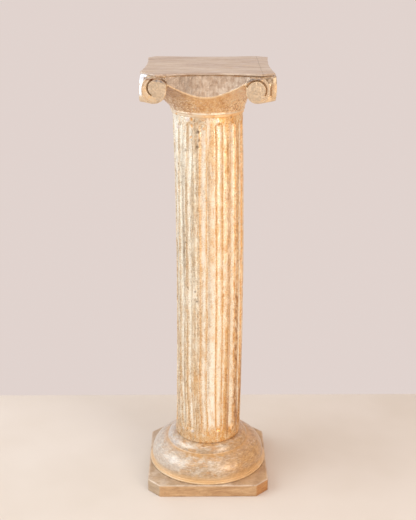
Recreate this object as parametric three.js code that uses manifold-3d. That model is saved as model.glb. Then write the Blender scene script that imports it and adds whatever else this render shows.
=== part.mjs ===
// Column pedestal: a carved wooden Ionic column with a fluted shaft, on a round moulding and a
// square plinth, under a capital with volutes at its four corners and a thin hollow-sided board.
// Millimetres, +Z up, -Y to the front, origin on the floor under the middle of the plinth.

import * as THREE from 'three';
import { mergeVertices } from 'three/addons/utils/BufferGeometryUtils.js';
import Module from 'manifold-3d';

const wasm = await Module();
wasm.setup();

// Heights of the joints between the pieces, from the floor up
const PLINTH_TOP_Z = 32;
const MOULDING_TOP_Z = 111.5;
const SHAFT_TOP_Z = 943;
const BLOCK_TOP_Z = 1046;
const BOARD_TOP_Z = 1050;

// Plinth: a square with its corners cut off
const PLINTH_HALF_SIDE = 151.2;
const PLINTH_CORNER_CUT = 30.6;

// Base moulding: a thin fillet, a large torus and a small ring under the shaft
const FILLET_RADIUS = 149.5;
const FILLET_HEIGHT = 4.5;
const TORUS_FOOT_RADIUS = 140;
const TORUS_RADIUS = 144;
const TORUS_WIDEST_Z = 50;
const TORUS_TOP_RADIUS = 105;
const TORUS_TOP_Z = 91;
const RING_RADIUS = 102.5;
const RING_TOP_RADIUS = 84;
const STEP_HEIGHT = 1;

// Shaft: a round trunk with round-ended flutes, bowed a little to the right. The bow bends at some
// shares of the trunk's height and is straight between them.
const SHAFT_RADIUS = 82.3;
const FLUTE_COUNT = 15;
const FLUTE_WIDTH = 19.5;
const FLUTE_DEPTH = 4.5;
const FLUTE_BOTTOM_Z = 138.5;
const FLUTE_TOP_Z = 928.5;
const FIRST_FLUTE_ANGLE = THREE.MathUtils.degToRad(17);
const SHAFT_BOW = 5.9;
const BOW_FULLNESS = 0.7;
const BOW_BENDS = [1 / 6, 1 / 2, 5 / 6];

// Capital: a plain neck, and a bell with a lip at its foot that flares out under the block
const NECK_RADIUS = 83;
const LIP_RADIUS = 89.5;
const LIP_BOTTOM_Z = 949;
const LIP_TOP_Z = 952.5;
const BELL_CURVE = [
  [90.5, 953.5],
  [95, 960],
  [97.8, 970],
  [103, 983],
  [112, 993],
  [127, 1004.5],
  [155, 1024.5],
  [192, 1037],
];

// Board over the capital, and the block under it: hollow sides, and corners cut from a point on
// the side to a point on the front or back face. Cut by hand, so no two corners are quite alike.
const CUT_CORNERS = {
  frontLeft: { side: [-149.5, -99], face: [-115, -145] },
  frontRight: { side: [146.5, -123], face: [115, -144] },
  backRight: { side: [145.7, 123], face: [119, 141] },
  backLeft: { side: [-142, 118], face: [-120, 142] },
};
const BOARD_HOLLOW = { front: 20, back: 11, side: 6 };
const BLOCK_HOLLOW = { front: 31, back: 29, side: 23 };
const BLOCK_SHRINK = 0.992;

// Volutes: two scrolls at each corner, one on either side of the cut-off corner
const VOLUTES = [
  { x: -1, y: -1, reach: 150.5, inset: 32.5, radius: 27, height: 1014.5 },
  { x: 1, y: -1, reach: 150.5, inset: 42, radius: 25.5, height: 1012 },
  { x: 1, y: 1, reach: 146, inset: 34, radius: 26.5, height: 1013 },
  { x: -1, y: 1, reach: 143.5, inset: 32, radius: 26.5, height: 1013 },
];
const VOLUTE_THICKNESS = 12;
const VOLUTE_INNER_END = 92;
const SCROLL = {
  centreIn: 4.6,
  centreUp: 2.8,
  outerRadius: 22,
  innerRadius: 15.5,
  startAngle: THREE.MathUtils.degToRad(28),
  sweep: THREE.MathUtils.degToRad(215),
  width: 3,
  depth: 3.5,
};

// Fineness of the round forms
const ROUND_SEGMENTS = 60;
const TORUS_STEPS = 8;
const RING_STEPS = 4;
const FLUTE_END_STEPS = 4;
const FLUTE_SIDE_STEPS = 24;
const BELL_STEPS = 10;
const VOLUTE_SEGMENTS = 24;
const SCROLL_STEPS = 12;
const HOLLOW_STEPS = 10;

// Overlap that lets two bodies join or cut cleanly, and the distance at which two points are one
const OVERLAP = 2;
const SAME_POINT = 0.001;

// Colours of worn gold and silver leaf
const paint = (color, roughness, metalness) =>
  new THREE.MeshStandardMaterial({ color, roughness, metalness });
const materials = {
  plinth: paint(0xc9a273, 0.5, 0.3),
  moulding: paint(0xd2b795, 0.4, 0.35),
  shaft: paint(0xe0b27c, 0.45, 0.4),
  capital: paint(0xcfae84, 0.45, 0.35),
  board: paint(0xcdb8a3, 0.5, 0.25),
};

// Joining and cutting

function toSolid(geometry) {
  const bare = geometry.index ? geometry.toNonIndexed() : geometry.clone();
  bare.deleteAttribute('normal');
  bare.deleteAttribute('uv');
  const merged = mergeVertices(bare);
  const corners = merged.index.array;
  const kept = [];
  for (let i = 0; i < corners.length; i += 3) {
    const [a, b, c] = [corners[i], corners[i + 1], corners[i + 2]];
    if (a !== b && b !== c && c !== a) kept.push(a, b, c);
  }
  const mesh = new wasm.Mesh({
    numProp: 3,
    vertProperties: new Float32Array(merged.attributes.position.array),
    triVerts: new Uint32Array(kept),
  });
  return new wasm.Manifold(mesh);
}

function toGeometry(solid) {
  const mesh = solid.getMesh();
  const geometry = new THREE.BufferGeometry();
  geometry.setAttribute('position', new THREE.BufferAttribute(mesh.vertProperties, 3));
  geometry.setIndex(new THREE.BufferAttribute(mesh.triVerts, 1));
  geometry.computeVertexNormals();
  return geometry;
}

// Basic bodies

// A body of revolution about Z from [radius, height] pairs that run from the foot to the top
function turned(profile) {
  const points = profile.map(([radius, height]) => new THREE.Vector2(radius, height));
  return new THREE.LatheGeometry(points, ROUND_SEGMENTS).rotateX(Math.PI / 2);
}

// A quarter of an ellipse, from its widest point up and in to its top
function quarterRound(widest, top, steps) {
  const points = [];
  for (let i = 0; i <= steps; i += 1) {
    const angle = (Math.PI / 2) * (i / steps);
    const radius = top[0] + (widest[0] - top[0]) * Math.cos(angle);
    const height = widest[1] + (top[1] - widest[1]) * Math.sin(angle);
    points.push([radius, height]);
  }
  return points;
}

function prism(outline, bottom, top) {
  const shape = new THREE.Shape(outline);
  const geometry = new THREE.ExtrudeGeometry(shape, { depth: top - bottom, bevelEnabled: false });
  return geometry.translate(0, 0, bottom);
}

// The points of one hollow side, from start to end
function hollowSide(start, end, depth) {
  const along = end.clone().sub(start);
  const inward = new THREE.Vector2(-along.y, along.x).normalize();
  const points = [];
  for (let i = 0; i < HOLLOW_STEPS; i += 1) {
    const t = i / HOLLOW_STEPS;
    const point = start.clone().addScaledVector(along, t);
    points.push(point.addScaledVector(inward, 4 * depth * t * (1 - t)));
  }
  points.push(end.clone());
  return points;
}

// A plan with four hollow sides and cut-off corners, seen from above and anticlockwise
function hollowPlan(hollow, shrink) {
  const { frontLeft, frontRight, backRight, backLeft } = CUT_CORNERS;
  const side = (from, to, depth) => hollowSide(new THREE.Vector2(...from), new THREE.Vector2(...to), depth);
  const points = [
    ...side(frontLeft.face, frontRight.face, hollow.front),
    ...side(frontRight.side, backRight.side, hollow.side),
    ...side(backRight.face, backLeft.face, hollow.back),
    ...side(backLeft.side, frontLeft.side, hollow.side),
  ];
  return points.map((point) => point.multiplyScalar(shrink));
}

// Plinth

function makePlinth() {
  const far = PLINTH_HALF_SIDE;
  const near = PLINTH_HALF_SIDE - PLINTH_CORNER_CUT;
  const outline = [
    [-near, -far], [near, -far], [far, -near], [far, near],
    [near, far], [-near, far], [-far, near], [-far, -near],
  ].map(([x, y]) => new THREE.Vector2(x, y));
  return prism(outline, 0, PLINTH_TOP_Z);
}

// Base moulding

function makeMoulding() {
  const filletTop = PLINTH_TOP_Z + FILLET_HEIGHT;
  return turned([
    [0, PLINTH_TOP_Z],
    [FILLET_RADIUS, PLINTH_TOP_Z],
    [FILLET_RADIUS, filletTop],
    [TORUS_FOOT_RADIUS, filletTop + STEP_HEIGHT],
    ...quarterRound([TORUS_RADIUS, TORUS_WIDEST_Z], [TORUS_TOP_RADIUS, TORUS_TOP_Z], TORUS_STEPS),
    ...quarterRound([RING_RADIUS, TORUS_TOP_Z + STEP_HEIGHT], [RING_TOP_RADIUS, MOULDING_TOP_Z], RING_STEPS),
    [0, MOULDING_TOP_Z],
  ]);
}

// Shaft

// The ball-ended cutter whose side leaves a flute of the set width and depth
function fluteCutter() {
  const radius = ((FLUTE_WIDTH / 2) ** 2 + FLUTE_DEPTH ** 2) / (2 * FLUTE_DEPTH);
  const endLength = FLUTE_WIDTH / 2;
  const straight = FLUTE_TOP_Z - FLUTE_BOTTOM_Z - 2 * endLength;
  const cutter = new THREE.CapsuleGeometry(radius, straight, FLUTE_END_STEPS, FLUTE_SIDE_STEPS);
  cutter.rotateX(Math.PI / 2);
  cutter.translate(0, SHAFT_RADIUS + radius - FLUTE_DEPTH, (FLUTE_TOP_Z + FLUTE_BOTTOM_Z) / 2);
  return cutter;
}

// How far to the right the bowed trunk stands at a height
function bowAt(z) {
  const share = (z - MOULDING_TOP_Z) / (SHAFT_TOP_Z - MOULDING_TOP_Z);
  return SHAFT_BOW * Math.max(0, Math.sin(Math.PI * share)) ** BOW_FULLNESS;
}

// The trunk with points added where the bow bends, and each point moved across by the bow
function bowed(trunk) {
  const bends = BOW_BENDS.map((share) => MOULDING_TOP_Z + share * (SHAFT_TOP_Z - MOULDING_TOP_Z));
  const levels = [MOULDING_TOP_Z - OVERLAP, ...bends, SHAFT_TOP_Z + OVERLAP];
  const wide = 4 * SHAFT_RADIUS;
  const moved = [];
  for (let i = 1; i < levels.length; i += 1) {
    const height = levels[i] - levels[i - 1];
    const slab = new THREE.BoxGeometry(wide, wide, height).translate(0, 0, levels[i] - height / 2);
    const bay = toGeometry(trunk.intersect(toSolid(slab))).toNonIndexed().attributes.position;
    for (let j = 0; j < bay.count; j += 3) {
      const corners = [j, j + 1, j + 2].map((k) => new THREE.Vector3().fromBufferAttribute(bay, k));
      const isCut = (z) => corners.every((corner) => Math.abs(corner.z - z) < SAME_POINT);
      if (bends.some(isCut)) continue;
      moved.push(...corners.map((corner) => corner.setX(corner.x + bowAt(corner.z))));
    }
  }
  return mergeVertices(new THREE.BufferGeometry().setFromPoints(moved), SAME_POINT);
}

function makeShaft() {
  let shaft = toSolid(turned([
    [0, MOULDING_TOP_Z],
    [SHAFT_RADIUS, MOULDING_TOP_Z],
    [SHAFT_RADIUS, SHAFT_TOP_Z],
    [0, SHAFT_TOP_Z],
  ]));
  for (let i = 0; i < FLUTE_COUNT; i += 1) {
    const angle = Math.PI + FIRST_FLUTE_ANGLE + (i * 2 * Math.PI) / FLUTE_COUNT;
    shaft = shaft.subtract(toSolid(fluteCutter().rotateZ(angle)));
  }
  const geometry = bowed(shaft);
  geometry.computeVertexNormals();
  return geometry;
}

// Capital

function makeBell() {
  const flare = new THREE.SplineCurve(BELL_CURVE.map(([r, z]) => new THREE.Vector2(r, z)));
  const rim = BELL_CURVE[BELL_CURVE.length - 1][0];
  return turned([
    [0, SHAFT_TOP_Z],
    [NECK_RADIUS, SHAFT_TOP_Z],
    [NECK_RADIUS, LIP_BOTTOM_Z],
    [LIP_RADIUS, LIP_BOTTOM_Z + STEP_HEIGHT],
    [LIP_RADIUS, LIP_TOP_Z],
    ...flare.getPoints(BELL_STEPS).map((point) => [point.x, point.y]),
    [rim, BLOCK_TOP_Z + OVERLAP],
    [0, BLOCK_TOP_Z + OVERLAP],
  ]);
}

// The spiral line of a scroll, as a narrow flat band around its own centre
function scrollBand() {
  const outside = [];
  const inside = [];
  for (let i = 0; i <= SCROLL_STEPS; i += 1) {
    const t = i / SCROLL_STEPS;
    const angle = SCROLL.startAngle + SCROLL.sweep * t;
    const radius = SCROLL.outerRadius + (SCROLL.innerRadius - SCROLL.outerRadius) * t;
    const direction = new THREE.Vector2(Math.cos(angle), Math.sin(angle));
    outside.push(direction.clone().multiplyScalar(radius + SCROLL.width / 2));
    inside.unshift(direction.clone().multiplyScalar(radius - SCROLL.width / 2));
  }
  return prism([...outside, ...inside], -SCROLL.depth, OVERLAP);
}

// A scroll is drawn lying down, with its face at height 0. This stands it up to face the front on
// the left corner, turns it to the side face if it belongs there, and moves it to its own corner.
function standScroll(geometry, corner, facesSide) {
  const middle = corner.reach - corner.inset;
  geometry.rotateX(Math.PI / 2).translate(-middle, -corner.reach, corner.height);
  if (facesSide) mapPlan(geometry, (x, y) => [y, x]);
  mapPlan(geometry, (x, y) => [x * -corner.x, y * -corner.y]);
  return toSolid(geometry);
}

// Moves each point by a map of x and y, and turns the faces over where the map mirrors the body
function mapPlan(geometry, map) {
  const position = geometry.attributes.position;
  for (let i = 0; i < position.count; i += 1) {
    position.setXY(i, ...map(position.getX(i), position.getY(i)));
  }
  const [ux, uy] = map(1, 0);
  const [vx, vy] = map(0, 1);
  if (ux * vy - uy * vx > 0) return;
  const order = geometry.index.array;
  for (let i = 0; i < order.length; i += 3) {
    [order[i], order[i + 1]] = [order[i + 1], order[i]];
  }
}

function drum(radius, bottom, top) {
  const cylinder = new THREE.CylinderGeometry(radius, radius, top - bottom, VOLUTE_SEGMENTS);
  return cylinder.rotateX(Math.PI / 2).translate(0, 0, (bottom + top) / 2);
}

function makeCapital() {
  const plan = hollowPlan(BLOCK_HOLLOW, BLOCK_SHRINK);
  const block = toSolid(prism(plan, SHAFT_TOP_Z - OVERLAP, BLOCK_TOP_Z));
  let capital = toSolid(makeBell()).intersect(block);
  const grooves = [];
  for (const corner of VOLUTES) {
    const { radius, reach } = corner;
    for (const facesSide of [false, true]) {
      const core = standScroll(drum(radius, VOLUTE_INNER_END - reach, 0), corner, facesSide);
      const scroll = standScroll(drum(radius, -VOLUTE_THICKNESS, 0), corner, facesSide);
      const band = scrollBand().translate(SCROLL.centreIn, SCROLL.centreUp, 0);
      capital = capital.add(core.intersect(block)).add(scroll);
      grooves.push(standScroll(mergeVertices(band), corner, facesSide));
    }
  }
  for (const groove of grooves) capital = capital.subtract(groove);
  return toGeometry(capital);
}

// Board

function makeBoard() {
  return prism(hollowPlan(BOARD_HOLLOW, 1), BLOCK_TOP_Z, BOARD_TOP_Z);
}

// Assembly

const pedestal = new THREE.Group();
pedestal.name = 'column_pedestal';

function addPiece(name, geometry, material) {
  const mesh = new THREE.Mesh(geometry, material);
  mesh.name = name;
  pedestal.add(mesh);
}

addPiece('plinth', makePlinth(), materials.plinth);
addPiece('base_moulding', makeMoulding(), materials.moulding);
addPiece('shaft', makeShaft(), materials.shaft);
addPiece('capital', makeCapital(), materials.capital);
addPiece('abacus_board', makeBoard(), materials.board);

export default pedestal;
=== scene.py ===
"""Column pedestal: a hand-carved wooden Ionic column in worn gold and silver leaf.

The five CAD pieces are replaced by finely carved meshes of the same form. Shapes and materials are
worked out in millimetres and scaled to metres when a mesh or a node is made.
"""

import math

import bpy
import numpy as np
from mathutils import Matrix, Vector


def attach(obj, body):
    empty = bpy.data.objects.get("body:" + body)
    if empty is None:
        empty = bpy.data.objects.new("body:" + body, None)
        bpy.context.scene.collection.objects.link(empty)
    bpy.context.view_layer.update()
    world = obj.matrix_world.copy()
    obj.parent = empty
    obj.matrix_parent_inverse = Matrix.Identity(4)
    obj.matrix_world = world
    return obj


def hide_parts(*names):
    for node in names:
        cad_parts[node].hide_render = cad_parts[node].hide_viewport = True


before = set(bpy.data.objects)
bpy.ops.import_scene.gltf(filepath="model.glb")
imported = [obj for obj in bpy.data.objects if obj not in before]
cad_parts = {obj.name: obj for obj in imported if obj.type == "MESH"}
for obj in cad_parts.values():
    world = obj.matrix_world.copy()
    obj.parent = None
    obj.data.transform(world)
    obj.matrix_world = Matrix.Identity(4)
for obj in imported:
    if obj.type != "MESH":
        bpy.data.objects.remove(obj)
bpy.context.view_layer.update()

# Heights of the joints between the pieces, from the floor up
PLINTH_TOP_Z = 32.0
MOULDING_TOP_Z = 111.5
SHAFT_TOP_Z = 943.0
BLOCK_TOP_Z = 1046.0
BOARD_TOP_Z = 1050.0
HALF_BOX = 151.2

# Plinth
PLINTH_HALF_SIDE = 151.2
PLINTH_CORNER_CUT = 30.6

# Base moulding
FILLET_RADIUS = 149.5
FILLET_HEIGHT = 4.5
TORUS_FOOT_RADIUS = 140.0
TORUS_RADIUS = 144.0
TORUS_WIDEST_Z = 50.0
TORUS_TOP_RADIUS = 105.0
TORUS_TOP_Z = 91.0
RING_FOOT_Z = 92.0
RING_RADIUS = 102.5
RING_TOP_RADIUS = 84.0
SEAT_RADIUS = 80.0

# Shaft and its flutes. Angles run from the front (-Y) towards +X.
SHAFT_RADIUS = 82.3
FLUTE_COUNT = 15
FLUTE_WIDTH = 19.5
FLUTE_DEPTH = 4.5
FLUTE_BOTTOM_Z = 138.5
FLUTE_TOP_Z = 928.5
# The flutes' lower ends are this share as steep as the round upper ends
FOOT_SLOPE = 0.45
# How far up or down the flutes' ends may stray
END_STRAY = 3.5
FIRST_FLUTE_ANGLE = 17.0
# Degrees by which the front flutes run off their place at the foot, along the middle and at the top
FLUTE_TURNS = {
    -3: (6.0, -3.5, 3.0), -2: (-0.8, -7.2, 0.0), -1: (0.0, -4.6, -1.6),
    0: (1.2, -1.2, 0.6), 1: (1.6, 0.4, 2.5), 2: (3.6, -1.1, 1.0),
}
# Heights between which a flute turns from its foot's place to its middle's, and on to its top's
FOOT_TURN_TOP_Z = 280
TOP_TURN_FOOT_Z = 730
# The trunk bows a little to the right
SHAFT_BOW = 5.9
BOW_FULLNESS = 0.7

# Wear on the shaft's flats: number of the flute to the left of the flat, lowest and highest z, strength. The
# cream patches are partly worn leaf and partly a painted reflection.
TARNISHED = [
    (-2, 860, 935, 0.75), (-2, 520, 860, 0.35), (-2, 290, 520, 0.5), (-2, 140, 290, 0.3),
    (-3, 560, 700, 0.5), (-3, 300, 560, 0.35), (-3, 700, 900, 0.2), (-4, 130, 560, 0.5),
    (-4, 560, 880, 0.35), (1, 140, 520, 1.0), (1, 520, 930, 0.5), (0, 130, 420, 0.2),
    (4, 200, 800, 0.6), (6, 400, 900, 0.7), (8, 150, 500, 0.6), (9, 500, 930, 0.4),
]
CREAMY = [
    (-1, 150, 400, 1.0), (-1, 400, 600, 0.8), (-1, 600, 800, 0.3), (0, 430, 800, 0.4),
    (-4, 700, 935, 0.9), (-3, 700, 935, 0.6), (3, 150, 700, 0.6), (5, 600, 930, 0.6),
    (7, 130, 600, 0.5),
]
# Long streaks: angle, lowest and highest z, half width and strength
DULL_STREAKS = [
    (31.8, 150, 900, 3.2, 0.6), (36.5, 130, 240, 4.0, 0.85), (58.5, 125, 340, 5.0, 0.8),
    (74, 130, 330, 6.0, 0.8), (-1.8, 240, 850, 3.6, 0.4), (-49.5, 540, 900, 4.0, 0.55),
    (-49.5, 140, 330, 4.0, 0.5), (-29.5, 560, 920, 3.0, 0.5), (-19.5, 560, 880, 2.6, 0.3),
    (-45, 760, 900, 4.0, 0.4), (-56, 540, 860, 3.6, 0.5), (-36, 250, 800, 2.2, 0.3),
]
# The pale streaks are painted highlights running down the flutes and flats
HIGHLIGHT_STREAKS = [
    (43.5, 165, 860, 4.2, 0.75), (64.5, 320, 900, 4.4, 0.75), (-24, 330, 880, 3.0, 0.8),
    (17.5, 200, 420, 4.0, 0.8), (-39.5, 260, 880, 3.2, 0.6), (-60.5, 440, 860, 3.2, 0.5),
    (24.5, 240, 460, 2.4, 0.5), (45.5, 150, 300, 3.5, 0.7),
]
# Single spots: angle, z and radius
DARK_SPOTS = [
    (-16.9, 911, 4.5), (-18.7, 876, 4.2), (-15.5, 890, 3.0), (-40.5, 865, 2.8), (58.5, 770, 2.6),
    (39.5, 940, 2.2), (-48.2, 617, 3.5), (-45, 640, 2.2), (-51, 590, 2.2), (-26, 520, 3.0), (-23, 495, 2.8),
]
# The two pale spots low down, at z 139 and 141, are painted glints
PALE_SPOTS = [(14.6, 936, 5.0), (-34.9, 938, 7.0), (-29, 141, 5.0), (-60, 915, 6.0), (-50, 139, 4.0)]
ORANGE_SPOTS = [(-29.2, 922, 4.5), (-7.6, 918, 4.5), (-31.5, 896, 3.5), (-27, 938, 3.5), (18, 926, 4.0)]

# Capital. The bell starts with a lip that stands out over the plain neck.
NECK_RADIUS = 84.4
NECK_FLARE = 1.4
NECK_FLARE_Z = 948.5
LIP_RADIUS = 87.0
LIP_Z = 952.0
LIP_HALF_HEIGHT = 2.6
LIP_DEPTH = 3.2
# Radius and z of the bell. It leans to the left, from its foot up to where the lean is full.
BELL_CURVE = [
    (86.0, 953.5), (87.4, 957), (91.0, 963), (95.8, 970), (104.5, 983),
    (113, 993), (127, 1004.5), (155, 1024.5), (192, 1037), (225, 1048),
]
BELL_LEAN = -7.5
LEAN_FOOT_Z = 954
LEAN_FULL_Z = 984
# The two points of each cut-off corner of the board, on the side and on the front or the back
CUT_CORNERS = {
    "front_left": ((-149.5, -99), (-115, -145)),
    "front_right": ((146.5, -123), (115, -144)),
    "back_right": ((145.7, 123), (119, 141)),
    "back_left": ((-142, 118), (-120, 142)),
}
BOARD_HOLLOW = {"front": 20.0, "back": 11.0, "side": 6.0}
BLOCK_HOLLOW = {"front": 31.0, "back": 29.0, "side": 23.0}
BLOCK_SHRINK = 0.992
PLANK_SEAM_X = 122
# Volutes: which way each stands, how far out its two faces are, how far in from there the middles of
# the scrolls are, their radius and height, the gouge cut across the corner, and the spiral
VOLUTE_NAMES = ("x", "y", "reach", "inset", "radius", "height", "gouge", "spiral")
VOLUTES = [dict(zip(VOLUTE_NAMES, values)) for values in (
    (-1, -1, 150.5, 32.5, 27.0, 1014.5, None, "left"),
    (1, -1, 150.5, 42.0, 25.5, 1012.0, 5.5, "right"),
    (1, 1, 146.0, 34.0, 26.5, 1013.0, 4.5, "left"),
    (-1, 1, 143.5, 32.0, 26.5, 1013.0, 4.5, "left"),
)]
VOLUTE_THICKNESS = 12.0
VOLUTE_INNER_END = 92.0
# Nothing of a volute is nearer to the middle than this
VOLUTE_NEAREST = 60
BAND_WIDENING = 9
# Spiral cuts: centre towards the column and up, first and last radius, first angle and turn in degrees
SPIRALS = {
    "left": (5.0, 7.0, 26.0, 19.0, 20, 220),
    "right": (2.5, 3.5, 24.0, 21.2, 24, 190),
}
GROOVE_DEPTH = 5.5
SHADOW_GAP_Z = 1042.8
SHADOW_GAP_DEPTH = 1.2
CAPITAL_GRID = 1.1
CAPITAL_TRIANGLES = 190000


# Noise


def wander(points, size, seed):
    """Smooth noise from about -1 to 1. size is the grain in millimetres, one number or three."""
    period = 48
    table = np.random.default_rng(seed).uniform(-1, 1, (period, period, period)).astype(np.float32)
    place = np.asarray(points, float) / np.asarray(size, float)
    low = np.floor(place).astype(int)
    part = place - low
    part = part * part * (3 - 2 * part)
    total = np.zeros(len(place))
    for corner in range(8):
        step = np.array([corner & 1, corner >> 1 & 1, corner >> 2 & 1])
        weight = np.where(step == 1, part, 1 - part).prod(axis=1)
        cell = (low + step) % period
        total += weight * table[cell[:, 0], cell[:, 1], cell[:, 2]]
    return total


def cuts(points, along, length, width, seed):
    """Short gouge cuts: 0 between them and 1 in their middle, longer in the direction along."""
    along = np.asarray(along, float) / np.linalg.norm(along)
    helper = np.array([0.31, 0.87, 0.39])
    across = np.cross(along, helper)
    across /= np.linalg.norm(across)
    third = np.cross(along, across)
    turned = points @ np.stack([along, across, third], axis=1)
    value = wander(turned, (length, width, width), seed)
    return np.clip((value - 0.25) / 0.5, 0, 1)


def smooth_max(a, b, k):
    """The larger of two distances, with their meeting rounded by about k."""
    return 0.5 * (a + b + np.sqrt((a - b) ** 2 + k * k))


def smooth_min(a, b, k):
    return -smooth_max(-a, -b, k)


def between(value, low, high):
    """0 below low, 1 above high, and a smooth step between them."""
    t = np.clip((value - low) / (high - low), 0, 1)
    return t * t * (3 - 2 * t)


def bump_at(value, middle, width):
    """1 at the middle, falling away to 0 on both sides of it."""
    return np.exp(-((value - middle) / width) ** 2)


# Meshes


def make_object(name, points, faces, marks):
    """A mesh object from points in millimetres, faces as rows of indices, and marks by name."""
    limit = np.array([HALF_BOX, HALF_BOX, BOARD_TOP_Z])
    points = np.clip(points, (-HALF_BOX, -HALF_BOX, 0), limit)
    mesh = bpy.data.meshes.new(name)
    mesh.from_pydata((points * 0.001).tolist(), [], faces)
    for mark, values in marks.items():
        layer = mesh.attributes.new(mark, "FLOAT", "POINT")
        layer.data.foreach_set("value", np.asarray(values, np.float32))
    mesh.validate()
    mesh.shade_smooth()
    made = bpy.data.objects.new(name, mesh)
    bpy.context.scene.collection.objects.link(made)
    return made


def grid_faces(rows, columns):
    """Faces of a grid of points that closes on itself along its rows."""
    r, c = np.meshgrid(np.arange(rows - 1), np.arange(columns), indexing="ij")
    here = r * columns + c
    right = r * columns + (c + 1) % columns
    return np.stack([here, right, right + columns, here + columns], -1).reshape(-1, 4).tolist()


def cap_faces(ring_start, columns, middle, upward):
    """Triangles from one ring of a grid to a point in its middle."""
    faces = []
    for c in range(columns):
        a, b = ring_start + c, ring_start + (c + 1) % columns
        faces.append((a, b, middle) if upward else (b, a, middle))
    return faces


def make_closed(name, points, columns, first_z, last_z, marks):
    """A closed piece from a grid of points whose rows run round it, from first_z to last_z."""
    downward = last_z < first_z
    rows = len(points) // columns
    faces = grid_faces(rows, columns)
    if downward:
        faces = [face[::-1] for face in faces]
    faces += cap_faces(0, columns, len(points), downward)
    faces += cap_faces((rows - 1) * columns, columns, len(points) + 1, not downward)
    points = np.concatenate([points, [(0, 0, first_z), (0, 0, last_z)]])
    marks = {mark: np.append(values, [0.0, 0.0]) for mark, values in marks.items()}
    return make_object(name, points, faces, marks)


def vertex_normals(points, faces):
    """Normals of the points of a mesh of quads."""
    f = np.asarray(faces)
    across = np.cross(points[f[:, 2]] - points[f[:, 0]], points[f[:, 3]] - points[f[:, 1]])
    normals = np.zeros_like(points)
    for corner in range(4):
        np.add.at(normals, f[:, corner], across)
    return normals / np.maximum(np.linalg.norm(normals, axis=1, keepdims=True), 1e-9)


def finish_piece(piece, node, material):
    piece.data.materials.append(material)
    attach(piece, "root")
    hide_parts(node)


# Shaft


def flute_centres(z):
    """Angle in degrees of each flute's middle at the heights z, one column for each flute."""
    rng = np.random.default_rng(7)
    over_foot = between(z, FLUTE_BOTTOM_Z, FOOT_TURN_TOP_Z)
    near_top = between(z, TOP_TURN_FOOT_Z, FLUTE_TOP_Z)
    columns = []
    for i in range(FLUTE_COUNT):
        number = i if i < FLUTE_COUNT // 2 else i - FLUTE_COUNT
        foot, middle, top = FLUTE_TURNS.get(number, tuple(rng.uniform(-1.5, 1.5, 3)))
        turn = foot + (middle - foot) * over_foot + (top - middle) * near_top
        columns.append(FIRST_FLUTE_ANGLE + i * 360 / FLUTE_COUNT + turn)
    return np.stack(columns, -1)


def bow_at(z):
    """How far to the right the bowed trunk stands at a height."""
    share = (z - MOULDING_TOP_Z) / (SHAFT_TOP_Z - MOULDING_TOP_Z)
    return SHAFT_BOW * np.clip(np.sin(math.pi * share), 0, 1) ** BOW_FULLNESS


def within(z, low, high, fade):
    """1 between two heights, with smooth ends as long as fade on both sides of them."""
    return between(z, low - fade, low + fade) * (1 - between(z, high - fade, high + fade))


def across_from(angle, middle):
    """Distance round the shaft from an angle in degrees."""
    return np.radians((angle - middle + 180) % 360 - 180) * SHAFT_RADIUS


def patch_mark(flat, z, patches):
    """The strength at each point of a list of patches. flat numbers the flat that each point is on."""
    total = np.zeros(z.shape)
    for number, low, high, strength in patches:
        here = strength * (flat == number % FLUTE_COUNT)
        total = np.maximum(total, here * within(z, low, high, 25))
    return total


def spot_mark(points, angle, z, spots):
    """1 in the middle of each single spot on the shaft, with ragged rims."""
    ragged = 1 + 0.5 * wander(points, 3.5, 71).reshape(angle.shape)
    total = np.zeros(angle.shape)
    for middle, height, size in spots:
        away = np.hypot(across_from(angle, middle), z - height) / (size * ragged)
        total = np.maximum(total, 1 - between(away, 0.5, 1.1))
    return total


def streak_mark(points, angle, z, streaks):
    """1 along the middle of each long streak on the shaft, with ragged sides and ends."""
    ragged = 1 + 0.45 * wander(points, (4, 4, 16), 73).reshape(angle.shape)
    total = np.zeros(angle.shape)
    for middle, low, high, half, strength in streaks:
        away = np.abs(across_from(angle, middle)) / (half * ragged)
        here = strength * within(z, low, high, 30) * (1 - between(away, 0.5, 1.3))
        total = np.maximum(total, here)
    return total


def on_shaft(radius, angle, z, bow=0.0):
    """Points at a radius and an angle in degrees, in rows of equal height."""
    turn = np.radians(angle)
    return np.stack([radius * np.sin(turn) + bow, -radius * np.cos(turn), z], -1).reshape(-1, 3)


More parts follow.
